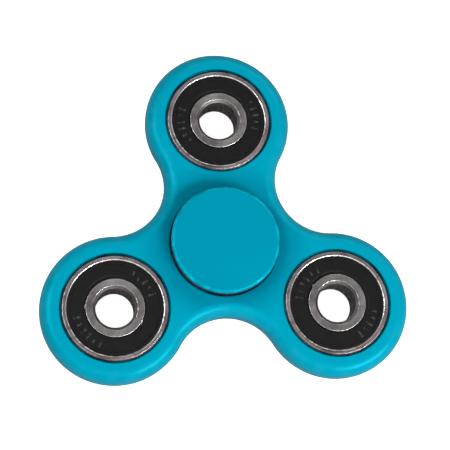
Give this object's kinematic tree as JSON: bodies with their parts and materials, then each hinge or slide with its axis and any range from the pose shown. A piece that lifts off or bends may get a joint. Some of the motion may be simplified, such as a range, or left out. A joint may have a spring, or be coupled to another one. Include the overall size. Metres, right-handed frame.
{
  "type": "fidget spinner",
  "caption": "Three-lobed plastic hand spinner with a sealed ball bearing at the hub between two finger caps and an open-bored ball bearing in each lobe.",
  "frame": {"origin": "on the spin axis, at the face of the rear cap that rests on a table", "axes": "+Z along the spin axis towards the front cap, +Y towards lobe a, +X to the right seen from the front"},
  "size_m": [0.0764, 0.0702, 0.0124],
  "materials": {
    "body_plastic": "satin gloss, moulded",
    "cap_plastic": "satin gloss, moulded",
    "bearing_steel": "ground and lightly oiled",
    "ball_steel": "polished",
    "cage_steel": "pressed sheet",
    "seal_rubber": "moulded, matte"
  },
  "bodies": {
    "hub": {"front_cap": "cap_plastic", "rear_cap": "cap_plastic", "hub_inner_ring": "bearing_steel"},
    "rotor": {"body": "body_plastic", "hub_outer_ring": "bearing_steel", "hub_front_seal": "seal_rubber", "hub_rear_seal": "seal_rubber", "lobe_a_outer_ring": "bearing_steel", "lobe_a_front_seal": "seal_rubber", "lobe_a_rear_seal": "seal_rubber", "lobe_b_outer_ring": "bearing_steel", "lobe_b_front_seal": "seal_rubber", "lobe_b_rear_seal": "seal_rubber", "lobe_c_outer_ring": "bearing_steel", "lobe_c_front_seal": "seal_rubber", "lobe_c_rear_seal": "seal_rubber"},
    "hub_cage": {"hub_balls": "ball_steel", "hub_cage_front": "cage_steel", "hub_cage_rear": "cage_steel", "hub_cage_rivets": "cage_steel"},
    "lobe_a_inner": {"lobe_a_inner_ring": "bearing_steel"},
    "lobe_a_cage": {"lobe_a_balls": "ball_steel", "lobe_a_cage_front": "cage_steel", "lobe_a_cage_rear": "cage_steel", "lobe_a_cage_rivets": "cage_steel"},
    "lobe_b_inner": {"lobe_b_inner_ring": "bearing_steel"},
    "lobe_b_cage": {"lobe_b_balls": "ball_steel", "lobe_b_cage_front": "cage_steel", "lobe_b_cage_rear": "cage_steel", "lobe_b_cage_rivets": "cage_steel"},
    "lobe_c_inner": {"lobe_c_inner_ring": "bearing_steel"},
    "lobe_c_cage": {"lobe_c_balls": "ball_steel", "lobe_c_cage_front": "cage_steel", "lobe_c_cage_rear": "cage_steel", "lobe_c_cage_rivets": "cage_steel"}
  },
  "joints": [
    {"name": "rotor_spin", "type": "hinge", "parent": "hub", "child": "rotor", "pos_m": [0, 0, 0.0062], "axis": [0, 0, 1], "continuous": true},
    {"name": "hub_cage_spin", "type": "hinge", "parent": "hub", "child": "hub_cage", "pos_m": [0, 0, 0.0062], "axis": [0, 0, 1], "continuous": true},
    {"name": "lobe_a_inner_spin", "type": "hinge", "parent": "rotor", "child": "lobe_a_inner", "pos_m": [0, 0.0264, 0.0062], "axis": [0, 0, 1], "continuous": true},
    {"name": "lobe_a_cage_spin", "type": "hinge", "parent": "rotor", "child": "lobe_a_cage", "pos_m": [0, 0.0264, 0.0062], "axis": [0, 0, 1], "continuous": true},
    {"name": "lobe_b_inner_spin", "type": "hinge", "parent": "rotor", "child": "lobe_b_inner", "pos_m": [-0.02286, -0.0132, 0.0062], "axis": [0, 0, 1], "continuous": true},
    {"name": "lobe_b_cage_spin", "type": "hinge", "parent": "rotor", "child": "lobe_b_cage", "pos_m": [-0.02286, -0.0132, 0.0062], "axis": [0, 0, 1], "continuous": true},
    {"name": "lobe_c_inner_spin", "type": "hinge", "parent": "rotor", "child": "lobe_c_inner", "pos_m": [0.02286, -0.0132, 0.0062], "axis": [0, 0, 1], "continuous": true},
    {"name": "lobe_c_cage_spin", "type": "hinge", "parent": "rotor", "child": "lobe_c_cage", "pos_m": [0.02286, -0.0132, 0.0062], "axis": [0, 0, 1], "continuous": true}
  ],
  "couplings": [
    {"joint": "hub_cage_spin", "follows": "rotor_spin", "ratio": 0.6323},
    {"joint": "lobe_a_cage_spin", "follows": "lobe_a_inner_spin", "ratio": 0.3677},
    {"joint": "lobe_b_cage_spin", "follows": "lobe_b_inner_spin", "ratio": 0.3677},
    {"joint": "lobe_c_cage_spin", "follows": "lobe_c_inner_spin", "ratio": 0.3677}
  ]
}
